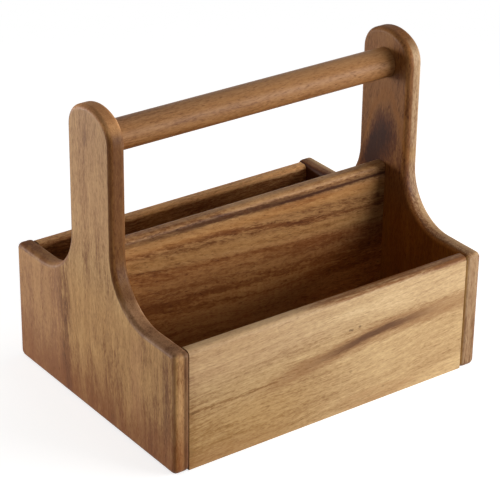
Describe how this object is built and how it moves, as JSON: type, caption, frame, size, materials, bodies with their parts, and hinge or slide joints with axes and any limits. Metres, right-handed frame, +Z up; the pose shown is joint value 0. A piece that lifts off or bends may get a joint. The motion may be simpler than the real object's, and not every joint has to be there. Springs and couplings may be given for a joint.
{
  "type": "utensil caddy",
  "caption": "Open wooden table caddy: two deep compartments either side of a tall divider, shaped end boards and a round carrying handle.",
  "frame": {"origin": "middle of the footprint, on the surface that the caddy stands on", "axes": "+X along the handle towards the right end board, +Y from the front board to the back board, +Z up"},
  "size_m": [0.25, 0.191, 0.22],
  "materials": {
    "end_wood": "oiled acacia, satin, grain upright",
    "front_wood": "oiled acacia, satin, pale, grain along the board",
    "back_wood": "oiled acacia, satin, grain along the board",
    "divider_wood": "oiled acacia, satin, strongly streaked along the board",
    "base_wood": "oiled acacia, satin, grain along the board",
    "handle_wood": "oiled acacia rod, smooth satin, grain along the rod",
    "pin_wood": "bare beech, fluted"
  },
  "bodies": {
    "root": {"left_end": "end_wood", "right_end": "end_wood", "front_board": "front_wood", "back_board": "back_wood", "divider": "divider_wood", "base_board": "base_wood", "handle": "handle_wood", "front_board_pins": "pin_wood", "back_board_pins": "pin_wood", "divider_pins": "pin_wood"}
  },
  "joints": []
}
